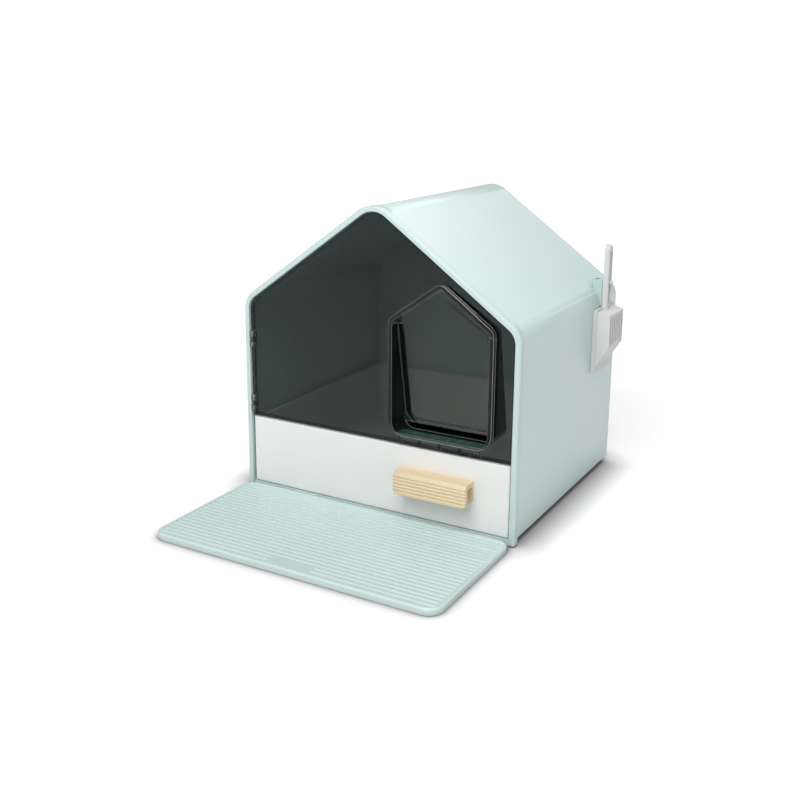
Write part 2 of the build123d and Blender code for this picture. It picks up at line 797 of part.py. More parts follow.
parts = {
    "hood_shell": make_hood_shell(),
    "front_frame": make_front_frame(),
    "rear_panel": make_rear_panel(),
    "base_pan": make_base_pan(),
    "lower_hinge_bracket": make_hinge_bracket(hinge_heights[0]),
    "upper_hinge_bracket": make_hinge_bracket(hinge_heights[1]),
    "lower_hinge_pin": make_hinge_pin(hinge_heights[0]),
    "upper_hinge_pin": make_hinge_pin(hinge_heights[1]),
    "door_panel": make_door_panel(),
    "entry_collar": make_entry_collar(),
    "entry_sill": make_entry_sill(),
    "cat_flap": make_cat_flap(),
    "flap_pins": make_flap_pins(),
    "drawer_front": make_drawer_front(),
    "litter_tray": make_litter_tray(),
    "drawer_handle": make_drawer_handle(),
    "handle_screws": make_handle_screws(),
    "tray_screws": make_tray_screws(),
    "pedal_plate": make_pedal_plate(),
    "litter_scoop": make_litter_scoop(),
    "scoop_hook": make_scoop_hook(),
    "hook_screw": make_hook_screw(),
}

os.makedirs("parts", exist_ok=True)
for name, piece in parts.items():
    export_step(piece, f"parts/{name}.step")
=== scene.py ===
"""Looks of a house-shaped covered litter box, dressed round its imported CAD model.

Lengths are metres unless their name ends in _mm.
"""

import logging
import math
from dataclasses import dataclass
from enum import Enum
from typing import Any

import bmesh
import bpy
from mathutils import Matrix, Quaternion, Vector


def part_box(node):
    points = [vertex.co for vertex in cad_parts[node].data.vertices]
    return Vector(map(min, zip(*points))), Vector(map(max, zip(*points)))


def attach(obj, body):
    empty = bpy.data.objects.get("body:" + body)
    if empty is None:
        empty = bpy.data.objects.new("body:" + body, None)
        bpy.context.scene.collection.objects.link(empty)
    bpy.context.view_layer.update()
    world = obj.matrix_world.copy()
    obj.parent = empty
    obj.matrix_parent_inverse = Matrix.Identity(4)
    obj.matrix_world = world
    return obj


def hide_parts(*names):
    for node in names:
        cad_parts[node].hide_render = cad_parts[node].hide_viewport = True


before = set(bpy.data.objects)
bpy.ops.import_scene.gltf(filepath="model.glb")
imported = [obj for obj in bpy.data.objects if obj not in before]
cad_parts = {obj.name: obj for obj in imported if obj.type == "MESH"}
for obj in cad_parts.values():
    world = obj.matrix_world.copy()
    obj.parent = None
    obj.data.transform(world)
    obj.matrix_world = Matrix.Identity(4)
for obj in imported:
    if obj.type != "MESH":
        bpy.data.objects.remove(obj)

log = logging.getLogger("litter_box")
# One millimetre.
MM = 0.001
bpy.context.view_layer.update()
# Points of a CAD mesh that are closer than this are one point.
WELD_REACH = 0.01 * MM
# Least turn between faces at an edge that is eased, and at one that also gets a finish of its own.
EASED_TURN_DEG = 35
FINISHED_TURN_DEG = 40
BEVEL_STEPS = 2


class EdgeBreak(Enum):
    """How far a moulded or cut edge is eased, in millimetres."""

    CRISP = 0.15
    EASED = 0.4
    SOFT = 0.8


class Grain(Enum):
    """Axis that drawn or sawn grain runs along: one for it and zero for the others."""

    ALONG_X = (1.0, 0.0, 0.0)
    ALONG_Z = (0.0, 0.0, 1.0)


def linear(colour: str) -> tuple[float, float, float, float]:
    """Turn an sRGB hex colour into linear values.

    Args:
        colour: hex colour such as "#C8E2DF".

    Returns:
        Linear red, green and blue, with full alpha.
    """
    parts = [int(colour[i : i + 2], 16) / 255 for i in (1, 3, 5)]
    # The curve and its straight foot are those of the sRGB standard.
    red, green, blue = [c / 12.92 if c <= 0.04045 else ((c + 0.055) / 1.055) ** 2.4 for c in parts]
    return red, green, blue, 1.0


def add_node(tree: bpy.types.NodeTree, kind: str, inputs: dict[Any, Any], **settings: Any) -> bpy.types.Node:
    """Add a node with its settings, constants and links.

    Args:
        tree: node tree that gets the node.
        kind: node type.
        inputs: by input name or number, a constant or the output socket that feeds it.
        settings: node properties.

    Returns:
        The new node.
    """
    node = tree.nodes.new(kind)
    for name, value in settings.items():
        setattr(node, name, value)
    for key, value in inputs.items():
        if isinstance(value, bpy.types.NodeSocket):
            tree.links.new(value, node.inputs[key])
        else:
            node.inputs[key].default_value = value
    return node


def blank(name: str) -> tuple[bpy.types.Material, bpy.types.NodeTree, bpy.types.NodeSocket]:
    """Start a material with no nodes but its coordinates.

    Args:
        name: the material's name.

    Returns:
        The material, its tree and the object coordinates, which are metres in the part's frame.
    """
    material = bpy.data.materials.new(name)
    material.use_nodes = True
    tree = material.node_tree
    tree.nodes.clear()
    place = add_node(tree, "ShaderNodeTexCoord", {}).outputs["Object"]
    return material, tree, place


def seen_directly(tree: bpy.types.NodeTree, in_gloss: bool) -> bpy.types.NodeSocket:
    """Add nodes that tell rays which show a surface from rays which only light something.

    Args:
        tree: node tree that gets the nodes.
        in_gloss: whether a ray off gloss counts as one that shows the surface.

    Returns:
        One for a ray from the camera, through clear plastic or, if it counts, off gloss; zero otherwise.
    """
    path = add_node(tree, "ShaderNodeLightPath", {}).outputs
    seen = path["Is Camera Ray"]
    rays = ["Is Transmission Ray"]
    if in_gloss:
        rays.append("Is Glossy Ray")
    for ray in rays:
        seen = add_node(tree, "ShaderNodeMath", {0: seen, 1: path[ray]}, operation="MAXIMUM").outputs[0]
    return seen


def free_to_mesh(bm: bmesh.types.BMesh, name: str) -> bpy.types.Mesh:
    """Turn an edited mesh into a plain one and free it.

    Args:
        bm: edited mesh, which is gone afterwards.
        name: name of the plain mesh.

    Returns:
        The plain mesh.
    """
    mesh = bpy.data.meshes.new(name)
    bm.to_mesh(mesh)
    bm.free()
    return mesh


@dataclass(frozen=True)
class MouldedPlastic:
    """Injection-moulded plastic from a spark-eroded mould: an even satin skin with faint flow clouding."""

    name: str
    colour: str
    cloud: str
    roughness: float = 0.42
    roughness_spread: float = 0.08
    cloud_mm: float = 85.0
    cloud_detail: float = 3.0
    # The real spark grain is about 0.1 mm, too fine to show, so it is drawn ten times as coarse.
    grain_mm: float = 1.1
    grain_detail: float = 2.0
    grain_relief_mm: float = 0.012
    ior: float = 1.5
    specular: float = 0.5

    def material(self) -> bpy.types.Material:
        """Make the clouded, finely grained plastic.

        Returns:
            The new material.
        """
        material, tree, place = blank(self.name)
        cloud = add_node(
            tree,
            "ShaderNodeTexNoise",
            {"Vector": place, "Scale": 1 / (self.cloud_mm * MM), "Detail": self.cloud_detail},
        )
        tone = add_node(
            tree,
            "ShaderNodeMix",
            {0: cloud.outputs["Fac"], 6: linear(self.colour), 7: linear(self.cloud)},
            data_type="RGBA",
        )
        grain = add_node(
            tree,
            "ShaderNodeTexNoise",
            {"Vector": place, "Scale": 1 / (self.grain_mm * MM), "Detail": self.grain_detail},
        )
        rough = add_node(
            tree,
            "ShaderNodeMapRange",
            {
                "Value": grain.outputs["Fac"],
                "To Min": self.roughness - self.roughness_spread,
                "To Max": self.roughness + self.roughness_spread,
            },
        )
        bump = add_node(
            tree,
            "ShaderNodeBump",
            {"Height": grain.outputs["Fac"], "Strength": 1.0, "Distance": self.grain_relief_mm * MM},
        )
        shader = add_node(
            tree,
            "ShaderNodeBsdfPrincipled",
            {
                "Base Color": tone.outputs[2],
                "Roughness": rough.outputs[0],
                "IOR": self.ior,
                "Specular IOR Level": self.specular,
                "Normal": bump.outputs["Normal"],
            },
        )
        add_node(tree, "ShaderNodeOutputMaterial", {"Surface": shader.outputs[0]})
        return material


@dataclass(frozen=True)
class SmokedAcrylic:
    """Moulded acrylic with a smoke-grey dye: glossy, see-through, slightly rippled and lightly handled."""

    name: str
    tint: str
    haze: str
    # Acrylic has 1.49. A lower value stands for a low-glare skin, which mirrors less.
    ior: float
    clarity: float = 1.0
    roughness: float = 0.02
    smudge: float = 0.05
    smudge_mm: float = 55.0
    smudge_detail: float = 5.0
    smudge_fineness: float = 0.6
    # Part of the pattern's range over which a clean skin turns into a smudged one.
    smudge_from: float = 0.4
    smudge_to: float = 0.75
    ripple_mm: float = 70.0
    ripple_detail: float = 1.0
    ripple_relief_mm: float = 0.05

    def material(self) -> bpy.types.Material:
        """Make the dyed see-through plastic.

        Returns:
            The new material.
        """
        material, tree, place = blank(self.name)
        smudge = add_node(
            tree,
            "ShaderNodeTexNoise",
            {
                "Vector": place,
                "Scale": 1 / (self.smudge_mm * MM),
                "Detail": self.smudge_detail,
                "Roughness": self.smudge_fineness,
            },
        )
        tone = add_node(
            tree,
            "ShaderNodeMix",
            {0: smudge.outputs["Fac"], 6: linear(self.tint), 7: linear(self.haze)},
            data_type="RGBA",
        )
        rough = add_node(
            tree,
            "ShaderNodeMapRange",
            {
                "Value": smudge.outputs["Fac"],
                "From Min": self.smudge_from,
                "From Max": self.smudge_to,
                "To Min": self.roughness,
                "To Max": self.roughness + self.smudge,
            },
        )
        ripple = add_node(
            tree,
            "ShaderNodeTexNoise",
            {"Vector": place, "Scale": 1 / (self.ripple_mm * MM), "Detail": self.ripple_detail},
        )
        bump = add_node(
            tree,
            "ShaderNodeBump",
            {"Height": ripple.outputs["Fac"], "Strength": 1.0, "Distance": self.ripple_relief_mm * MM},
        )
        shader = add_node(
            tree,
            "ShaderNodeBsdfPrincipled",
            {
                "Base Color": tone.outputs[2],
                "Roughness": rough.outputs[0],
                "IOR": self.ior,
                "Transmission Weight": self.clarity,
                "Normal": bump.outputs["Normal"],
            },
        )
        lamp_light = add_node(tree, "ShaderNodeBsdfTransparent", {"Color": self.through()})
        from_lamp = add_node(tree, "ShaderNodeLightPath", {}).outputs["Is Shadow Ray"]
        both = {0: from_lamp, 1: shader.outputs[0], 2: lamp_light.outputs[0]}
        surface = add_node(tree, "ShaderNodeMixShader", both)
        add_node(tree, "ShaderNodeOutputMaterial", {"Surface": surface.outputs[0]})
        return material

    def through(self) -> tuple[float, ...]:
        """Tint that one face gives to lamp light, so that a wall's two faces together give the whole tint."""
        return tuple((self.clarity * part) ** 0.5 for part in linear(self.tint)[:3]) + (1.0,)


@dataclass(frozen=True)
class SealedWood:
    """Planed pale rubberwood under a thin matt seal: straight soft grain with short darker pores."""

    name: str
    early: str
    late: str
    pore: str
    grain: Grain
    ring_mm: float = 2.6
    run_mm: float = 60.0
    ring_detail: float = 3.0
    ring_waver: float = 0.4
    pore_mm: float = 0.5
    pore_run_mm: float = 7.5
    pore_detail: float = 1.0
    # Part of the pattern's range over which a pore opens, and how dark it gets.
    pore_from: float = 0.62
    pore_to: float = 0.75
    pore_strength: float = 0.6
    pore_relief: float = 0.6
    pore_relief_mm: float = 0.02
    roughness: float = 0.5
    smoother: float = 0.06
    rougher: float = 0.08
    ior: float = 1.5
    specular: float = 0.35

    def stretch(self, across_mm: float, along_mm: float) -> tuple[float, ...]:
        """Scale along each axis for a pattern that is long along the grain."""
        return tuple(1 / ((along_mm if way else across_mm) * MM) for way in self.grain.value)

    def material(self) -> bpy.types.Material:
        """Make the grained wood.

        Returns:
            The new material.
        """
        material, tree, place = blank(self.name)
        long_place = add_node(
            tree, "ShaderNodeMapping", {"Vector": place, "Scale": self.stretch(self.ring_mm, self.run_mm)}
        )
        rings = add_node(
            tree,
            "ShaderNodeTexNoise",
            {
                "Vector": long_place.outputs[0],
                "Scale": 1.0,
                "Detail": self.ring_detail,
                "Distortion": self.ring_waver,
            },
        )
        tone = add_node(
            tree,
            "ShaderNodeMix",
            {0: rings.outputs["Fac"], 6: linear(self.early), 7: linear(self.late)},
            data_type="RGBA",
        )
        pore_place = add_node(
            tree,
            "ShaderNodeMapping",
            {"Vector": place, "Scale": self.stretch(self.pore_mm, self.pore_run_mm)},
        )
        pores = add_node(
            tree,
            "ShaderNodeTexNoise",
            {"Vector": pore_place.outputs[0], "Scale": 1.0, "Detail": self.pore_detail},
        )
        open_pores = add_node(
            tree,
            "ShaderNodeMapRange",
            {
                "Value": pores.outputs["Fac"],
                "From Min": self.pore_from,
                "From Max": self.pore_to,
                "To Min": 0.0,
                "To Max": self.pore_strength,
            },
        )
        colour = add_node(
            tree,
            "ShaderNodeMix",
            {0: open_pores.outputs[0], 6: tone.outputs[2], 7: linear(self.pore)},
            data_type="RGBA",
        )
        rough = add_node(
            tree,
            "ShaderNodeMapRange",
            {
                "Value": rings.outputs["Fac"],
                "To Min": self.roughness - self.smoother,
                "To Max": self.roughness + self.rougher,
            },
        )
        bump = add_node(
            tree,
            "ShaderNodeBump",
            {
                "Height": pores.outputs["Fac"],
                "Strength": self.pore_relief,
                "Distance": self.pore_relief_mm * MM,
            },
        )
        shader = add_node(
            tree,
            "ShaderNodeBsdfPrincipled",
            {
                "Base Color": colour.outputs[2],
                "Roughness": rough.outputs[0],
                "IOR": self.ior,
                "Specular IOR Level": self.specular,
                "Normal": bump.outputs["Normal"],
            },
        )
        add_node(tree, "ShaderNodeOutputMaterial", {"Surface": shader.outputs[0]})
        return material


@dataclass(frozen=True)
class DrawnSteel:
    """Drawn steel: bright or blackened, with fine lines along the draw."""

    name: str
    colour: str
    line_colour: str
    roughness: float
    grain: Grain
    line_mm: float = 0.25
    run_mm: float = 12.0
    line_detail: float = 2.0
    smoother: float = 0.08
    rougher: float = 0.1

    def material(self) -> bpy.types.Material:
        """Make the drawn metal.

        Returns:
            The new material.
        """
        material, tree, place = blank(self.name)
        scale = tuple(1 / ((self.run_mm if way else self.line_mm) * MM) for way in self.grain.value)
        long_place = add_node(tree, "ShaderNodeMapping", {"Vector": place, "Scale": scale})
        lines = add_node(
            tree,
            "ShaderNodeTexNoise",
            {"Vector": long_place.outputs[0], "Scale": 1.0, "Detail": self.line_detail},
        )
        tone = add_node(
            tree,
            "ShaderNodeMix",
            {0: lines.outputs["Fac"], 6: linear(self.colour), 7: linear(self.line_colour)},
            data_type="RGBA",
        )
        rough = add_node(
            tree,
            "ShaderNodeMapRange",
            {
                "Value": lines.outputs["Fac"],
                "To Min": self.roughness - self.smoother,
                "To Max": self.roughness + self.rougher,
            },
        )
        shader = add_node(
            tree,
            "ShaderNodeBsdfPrincipled",
            {"Base Color": tone.outputs[2], "Metallic": 1.0, "Roughness": rough.outputs[0]},
        )
        add_node(tree, "ShaderNodeOutputMaterial", {"Surface": shader.outputs[0]})
        return material


# ABS in pale mint: satin, so broad soft highlights and no sharp reflections.
MINT_ABS = MouldedPlastic(
    "mint_abs_satin_moulded", "#C8DBD9", "#C4D7D5", roughness=0.32, roughness_spread=0.05
)
# The front frame is that ABS painted a shade greyer: painted shade, so the frame shows darker than the hood
# under the light.
FRAME_ABS_PAINTED_SHADE = MouldedPlastic(
    "mint_abs_satin_painted_shade", "#C2D5D3", "#BED1CF", roughness=0.32, roughness_spread=0.05
)
# The hook is the same ABS in a deeper mint, darker than the hood.
HOOK_ABS = MouldedPlastic(
    "deep_mint_abs_satin_moulded", "#B3CBC8", "#AEC6C3", roughness=0.32, roughness_spread=0.05
)
# Polypropylene in white: a little glossier and very even.
WHITE_PP = MouldedPlastic(
    "white_polypropylene_soft_gloss", "#E9EAE8", "#E5E6E4", roughness=0.3, roughness_spread=0.05
)
# The same polypropylene painted a warm pale grey for the tray: painted shade, so that it shows darker than
# the front through the door.
TRAY_PP_PAINTED_SHADE = MouldedPlastic(
    "polypropylene_soft_gloss_painted_shade", "#E1DFDE", "#DDDBDA", roughness=0.3, roughness_spread=0.05
)
# Polypropylene in grey-white: dull, slightly waxy.
GREY_PP = MouldedPlastic("grey_white_polypropylene_matt", "#D3D3D3", "#CDCDCD", roughness=0.5)
# Acetal in dark grey for the hinges: dense and a little slick.
HINGE_ACETAL = MouldedPlastic("grey_acetal_moulded", "#5E6564", "#585F5E", roughness=0.35)
# The door's sheet is smoke-dyed acrylic with a low-glare skin: dark, with the inside just showing.
DOOR_ACRYLIC = SmokedAcrylic("smoked_acrylic_low_glare_sheet", "#989E9C", "#929896", ior=1.18, roughness=0.1)
# The flap is the same acrylic with a little more light through it.
FLAP_ACRYLIC = SmokedAcrylic("smoked_acrylic_clear_moulded", "#B4B5B3", "#ACADAB", ior=1.18, roughness=0.1)
# The collar is nearly black: partly its smoke dye, partly painted shade for the dark walls in the shade of
# the entrance.
COLLAR_ACRYLIC_AND_SHADE = SmokedAcrylic("smoked_acrylic_black_and_painted_shade", "#2C3634", "#272F2D", ior=1.32)
# The edges of collar and sill get a pale colour: a painted highlight, so they show as thin pale lines as if
# they gathered light.
PAINTED_HIGHLIGHT_EDGE = MouldedPlastic(
    "acrylic_edge_painted_highlight",
    "#E2E8E6",
    "#D9E0DE",
    roughness=0.12,
    roughness_spread=0.04,
    specular=1.0,
)
# The door's edges are looked at along the sheet, so the dye makes them almost black.
DOOR_EDGE = MouldedPlastic(
    "smoked_acrylic_sawn_edge", "#141817", "#101413", roughness=0.2, roughness_spread=0.05, specular=0.3
)
# The sill is teal acrylic with a frosted top: half see-through, so its slots show by their edges.
SILL_ACRYLIC = SmokedAcrylic(
    "teal_acrylic_frosted_moulded", "#3A5A53", "#33524B", ior=1.45, clarity=0.3, roughness=0.22
)
# Rubberwood, planed and sealed: pale straw with faint straight grain.
SEALED_WOOD = SealedWood("rubberwood_planed_sealed", "#E6D4B3", "#DCC7A2", "#B99B6C", Grain.ALONG_X)
# Bright drawn steel for the pins: small hard highlights.
PIN_STEEL = DrawnSteel("bright_drawn_steel", "#C9CACC", "#B4B5B8", roughness=0.28, grain=Grain.ALONG_Z)
# Black-oxide steel for the hook's screw: nearly black, dull.
BLACK_STEEL = DrawnSteel("black_oxide_steel", "#333436", "#232425", roughness=0.45, grain=Grain.ALONG_Z)


def dress(
    node: str, material: bpy.types.Material, edge: EdgeBreak, edge_material: bpy.types.Material | None = None
) -> None:
    """Give a CAD node its material and eased edges.

    Args:
        node: the node's name.
        material: its finish.
        edge: how far its edges are eased.
        edge_material: finish of the eased edges, where they have their own.
    """
    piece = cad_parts[node]
    for slot in piece.material_slots:
        slot.material = material
    weld = piece.modifiers.new("join", "WELD")
    weld.merge_threshold = WELD_REACH
    bevel = piece.modifiers.new("edge_break", "BEVEL")
    bevel.width = edge.value * MM
    bevel.segments = BEVEL_STEPS
    bevel.limit_method = "ANGLE"
    bevel.angle_limit = math.radians(FINISHED_TURN_DEG if edge_material else EASED_TURN_DEG)
    bevel.harden_normals = True
    if edge_material:
        bevel.material = len(piece.data.materials)
        piece.data.materials.append(edge_material)
    log.info("%s: %s, edges eased %.2f mm", node, material.name, edge.value)


def add_piece(
    name: str,
    mesh: bpy.types.Mesh,
    material: bpy.types.Material,
    body: str,
    nodes: tuple[str, ...],
) -> None:
    """Put a new piece in the scene, in place of CAD nodes where it stands for some.

    Args:
        name: the piece's name.
        mesh: its mesh, in the part's frame.
        material: its finish.
        body: the body it rides on.
        nodes: the nodes it stands for, none for a detail that the CAD lacks.
    """
    mesh.materials.append(material)
    piece = bpy.data.objects.new(name, mesh)
    bpy.context.scene.collection.objects.link(piece)
    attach(piece, body)
    if nodes:
        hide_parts(*nodes)
    log.info("%s: %s, rides on %s", name, material.name, body)


def lathe(bm: bmesh.types.BMesh, profile: list[tuple[float, float]], steps: int) -> None:
    """Turn a profile about the Z axis into a closed solid.

    Args:
        bm: mesh that gets the solid.
        profile: radius and height of each ring, from bottom to top; a radius of zero closes the end.
        steps: points round each ring.
    """
    rings = []
    for radius, height in profile:
        if radius == 0:
            rings.append([bm.verts.new((0.0, 0.0, height))])
            continue
        angles = [2 * math.pi * step / steps for step in range(steps)]
        rings.append([bm.verts.new((radius * math.cos(a), radius * math.sin(a), height)) for a in angles])
    for low, high in zip(rings, rings[1:]):
        for step in range(steps):
            after = (step + 1) % steps
            corners = [low[step % len(low)], low[after % len(low)]]
            corners += [high[after % len(high)], high[step % len(high)]]
            bm.faces.new(list(dict.fromkeys(corners)))


@dataclass
class PanHeadScrew:
    """Pan-head screw with a cross recess, made standing on its point with its seat at z = 0."""

    head_radius: float = 3.2 * MM
    head_height: float = 2.0 * MM
    shank_radius: float = 1.5 * MM
    recess_length: float = 3.4 * MM
    recess_width: float = 0.75 * MM
    recess_depth: float = 1.3 * MM
    recess_overrun: float = 0.5 * MM
    recess_taper: float = 0.6
    thread_pitch: float = 1.0 * MM
    thread_depth: float = 0.22 * MM
    # The thread's slope as a share of its pitch, and the blunt point as a share of the root.
    thread_flank: float = 0.3
    point_length: float = 0.2 * MM
    point_share: float = 0.5
    neck_length: float = 0.1 * MM
    # The rim as a share of the head's height, its eased foot of the rim, and the seat of the head's radius.
    rim_share: float = 0.35
    rim_ease: float = 0.3
    seat_share: float = 0.97
    # Steps up the head's dome as shares of a quarter turn, and how far the dome draws in.
    dome_steps: tuple[float, ...] = (0.25, 0.5, 0.75, 0.92)
    dome_draw: float = 0.55
    sharp_deg: float = 32.0
    # Screws in a group are turned to different angles, in radians.
    first_turn: float = 0.4
    turn_step: float = 0.7
    steps: int = 32

    def solid(self, length: float) -> bpy.types.Mesh:
        """Make the screw's mesh.

        Args:
            length: length under the head.

        Returns:
            The mesh, with its recess cut.
        """
        bm = bmesh.new()
        root = self.shank_radius - self.thread_depth
        profile = [(0.0, -length), (root * self.point_share, -length + self.point_length)]
        turns = int((length - self.thread_pitch) / self.thread_pitch)
        for turn in range(turns):
            height = -length + (turn + 1) * self.thread_pitch
            flank = height - self.thread_pitch * self.thread_flank
            profile += [(root, flank), (self.shank_radius, height)]
        edge = self.head_height * self.rim_share
        profile += [(self.shank_radius, -self.neck_length), (self.shank_radius, 0.0)]
        profile += [(self.head_radius * self.seat_share, 0.0)]
        profile += [(self.head_radius, edge * self.rim_ease), (self.head_radius, edge)]
        for share in self.dome_steps:
            angle = share * math.pi / 2
            radius = self.head_radius * (1 - self.dome_draw * (1 - math.cos(angle)))
            profile.append((radius, edge + (self.head_height - edge) * math.sin(angle)))
        profile.append((0.0, self.head_height))
        lathe(bm, profile, self.steps)
        bmesh.ops.recalc_face_normals(bm, faces=bm.faces)
        return self.cut(free_to_mesh(bm, "screw_body"))

    def cut(self, body: bpy.types.Mesh) -> bpy.types.Mesh:
        """Cut the cross recess into the head.

        Args:
            body: the screw without its recess.

        Returns:
            The screw with it.
        """
        bm = bmesh.new()
        middle = self.head_height - self.recess_depth / 2 + self.recess_overrun
        for turn in range(2):
            size = (self.recess_length, self.recess_width, self.recess_depth + 2 * self.recess_overrun)
            matrix = Matrix.Translation((0, 0, middle)) @ Matrix.Rotation(turn * math.pi / 2, 4, "Z")
            made = bmesh.ops.create_cube(bm, size=1.0, matrix=matrix @ Matrix.Diagonal((*size, 1.0)))
            for vert in made["verts"]:
                if vert.co.z < middle:
                    vert.co.x *= self.recess_taper
                    vert.co.y *= self.recess_taper
        solid = bpy.data.objects.new("screw_blank", body)
        cutter = bpy.data.objects.new("recess_cutter", free_to_mesh(bm, "recess_cutter"))
        for piece in (solid, cutter):
            bpy.context.scene.collection.objects.link(piece)
        boolean = solid.modifiers.new("recess", "BOOLEAN")
        boolean.object = cutter
        boolean.solver = "EXACT"
        boolean.use_self = True
        bpy.context.view_layer.update()
        depsgraph = bpy.context.evaluated_depsgraph_get()
        made_mesh = bpy.data.meshes.new_from_object(solid.evaluated_get(depsgraph))
        for piece in (solid, cutter):
            bpy.data.objects.remove(piece)
        made_mesh.shade_smooth()
        made_mesh.set_sharp_from_angle(angle=math.radians(self.sharp_deg))
        return made_mesh

    def group(self, name: str, seats: list[Vector], direction: Vector, length: float) -> bpy.types.Mesh:
        """Copy the screw to each seat.

        Args:
            name: name of the mesh.
            seats: points where the heads seat.
            direction: way the screws drive in.
            length: length under the head.

        Returns:
            One mesh with all the screws.
        """
        single = self.solid(length)
        turn = Vector((0, 0, -1)).rotation_difference(direction).to_matrix().to_4x4()
        bm = bmesh.new()
        for step, seat in enumerate(seats):
            copy = single.copy()
            spin = Matrix.Rotation(self.first_turn + self.turn_step * step, 4, "Z")
            copy.transform(Matrix.Translation(seat) @ turn @ spin)
            bm.from_mesh(copy)
            bpy.data.meshes.remove(copy)
        return free_to_mesh(bm, name)


@dataclass
class House:
    """Fixed body: hood, frame, rear panel, base, hinges and the scoop's hook."""

    body: str = "house"
    shell_edge: EdgeBreak = EdgeBreak.EASED
    fine_edge: EdgeBreak = EdgeBreak.CRISP
    pin_head_height: float = 1.0 * MM
    pin_head_radius: float = 2.2 * MM
    pin_radius: float = 1.25 * MM
    pin_chamfer: float = 0.3 * MM
    pin_steps: int = 28
    # The head's eased edge, its rim, and the steps up its dome as shares of a quarter turn.
    head_ease: float = 0.1 * MM
    head_rim: float = 0.3 * MM
    head_dome: float = 0.7 * MM
    dome_steps: tuple[float, ...] = (0.0, 0.33, 0.66)
    sharp_deg: float = 40.0

    def build(self) -> None:
        """Dress the shell and make the pins and the hook's screw."""
        mint = MINT_ABS.material()
        for node in ("hood_shell", "rear_panel", "base_pan"):
            dress(node, mint, self.shell_edge)
        # The frame's greyer mint is painted shade.
        dress("front_frame", FRAME_ABS_PAINTED_SHADE.material(), self.fine_edge)
        acetal = HINGE_ACETAL.material()
        for node in ("lower_hinge_bracket", "upper_hinge_bracket"):
            dress(node, acetal, self.fine_edge)
        dress("scoop_hook", HOOK_ABS.material(), self.shell_edge)
        steel = PIN_STEEL.material()
        for node in ("lower_hinge_pin", "upper_hinge_pin"):
            self.hinge_pin(node, steel)
        self.hook_screw(BLACK_STEEL.material())

    def hinge_pin(self, node: str, material: bpy.types.Material) -> None:
        """Replace a hinge pin with one that has a domed head and a chamfered end.

        Args:
            node: the pin's node.
            material: its finish.
        """
        low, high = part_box(node)
        top = high.z - low.z
        neck = top - self.pin_head_height
        profile = [(0.0, 0.0), (self.pin_radius - self.pin_chamfer, 0.0), (self.pin_radius, self.pin_chamfer)]
        profile += [(self.pin_radius, neck), (self.pin_head_radius - self.head_ease, neck)]
        profile += [(self.pin_head_radius, neck + self.head_ease)]
        for share in self.dome_steps:
            angle = share * math.pi / 2
            rise = self.head_rim + self.head_dome * math.sin(angle)
            profile.append((self.pin_head_radius * math.cos(angle), neck + rise))
        profile.append((0.0, top))
        bm = bmesh.new()
        lathe(bm, profile, self.pin_steps)
        bmesh.ops.recalc_face_normals(bm, faces=bm.faces)
        bmesh.ops.translate(bm, verts=bm.verts, vec=((low.x + high.x) / 2, (low.y + high.y) / 2, low.z))
        mesh = free_to_mesh(bm, f"{node}_domed")
        mesh.shade_smooth()
        mesh.set_sharp_from_angle(angle=math.radians(self.sharp_deg))
        add_piece(f"{node}_domed", mesh, material, self.body, (node,))

    def hook_screw(self, material: bpy.types.Material) -> None:
        """Replace the hook's screw with one that has a cross recess.

        Args:
            material: its finish.
        """
        screw = PanHeadScrew()
        low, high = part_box("hook_screw")
        seat = Vector(((low.x + high.x) / 2, (low.y + high.y) / 2, high.z - screw.head_height))
        mesh = screw.group("hook_screw_cross_head", [seat], Vector((0, 0, -1)), seat.z - low.z)
        add_piece("hook_screw_cross_head", mesh, material, self.body, ("hook_screw",))


@dataclass
class FrontDoor:
    """Tinted door with the entrance's collar and sill."""

    panel_edge: EdgeBreak = EdgeBreak.SOFT
    collar_edge: EdgeBreak = EdgeBreak.SOFT
    sill_edge: EdgeBreak = EdgeBreak.EASED

    def build(self) -> None:
        """Dress the door's three pieces."""
        dress("door_panel", DOOR_ACRYLIC.material(), self.panel_edge, DOOR_EDGE.material())
        # The collar's and sill's pale edges are painted highlights; the collar's near-black is partly painted
        # shade.
        highlight_edges = PAINTED_HIGHLIGHT_EDGE.material()
        dress("entry_collar", COLLAR_ACRYLIC_AND_SHADE.material(), self.collar_edge, highlight_edges)
        dress("entry_sill", SILL_ACRYLIC.material(), self.sill_edge, highlight_edges)


@dataclass
class CatFlap:
    """Swinging pane and its two pins."""

    pane_edge: EdgeBreak = EdgeBreak.EASED
    pin_edge: EdgeBreak = EdgeBreak.CRISP

    def build(self) -> None:
        """Dress the pane and its pins."""
        dress("cat_flap", FLAP_ACRYLIC.material(), self.pane_edge)
        dress("flap_pins", PIN_STEEL.material(), self.pin_edge)


@dataclass
class Drawer:
    """White drawer front and tray, wooden handle and the screws that hold them."""

    body: str = "drawer"
    edge: EdgeBreak = EdgeBreak.EASED

    def build(self) -> None:
        """Dress the drawer and make its screws."""
        dress("drawer_front", WHITE_PP.material(), self.edge)
        # The tray's grey is painted shade.
        dress("litter_tray", TRAY_PP_PAINTED_SHADE.material(), self.edge)
        dress("drawer_handle", SEALED_WOOD.material(), self.edge)
        steel = PIN_STEEL.material()
        for node in ("handle_screws", "tray_screws"):
            self.screws(node, steel)

    def screws(self, node: str, material: bpy.types.Material) -> None:
        """Replace a group of screws with ones that have cross recesses.

        Args:
            node: the group's node.
            material: its finish.
        """
        screw = PanHeadScrew()
        low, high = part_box(node)
        near, far = low.x + screw.head_radius, high.x - screw.head_radius
        # Rounded to 0.01 mm, so that a single row of screws gives a single height.
        heights = sorted({round(low.z + screw.head_radius, 5), round(high.z - screw.head_radius, 5)})
        seat_y = high.y - screw.head_height
        seats = [Vector((x, seat_y, z)) for x in (near, far) for z in heights]
        mesh = screw.group(f"{node}_cross_head", seats, Vector((0, -1, 0)), seat_y - low.y)
        add_piece(f"{node}_cross_head", mesh, material, self.body, (node,))


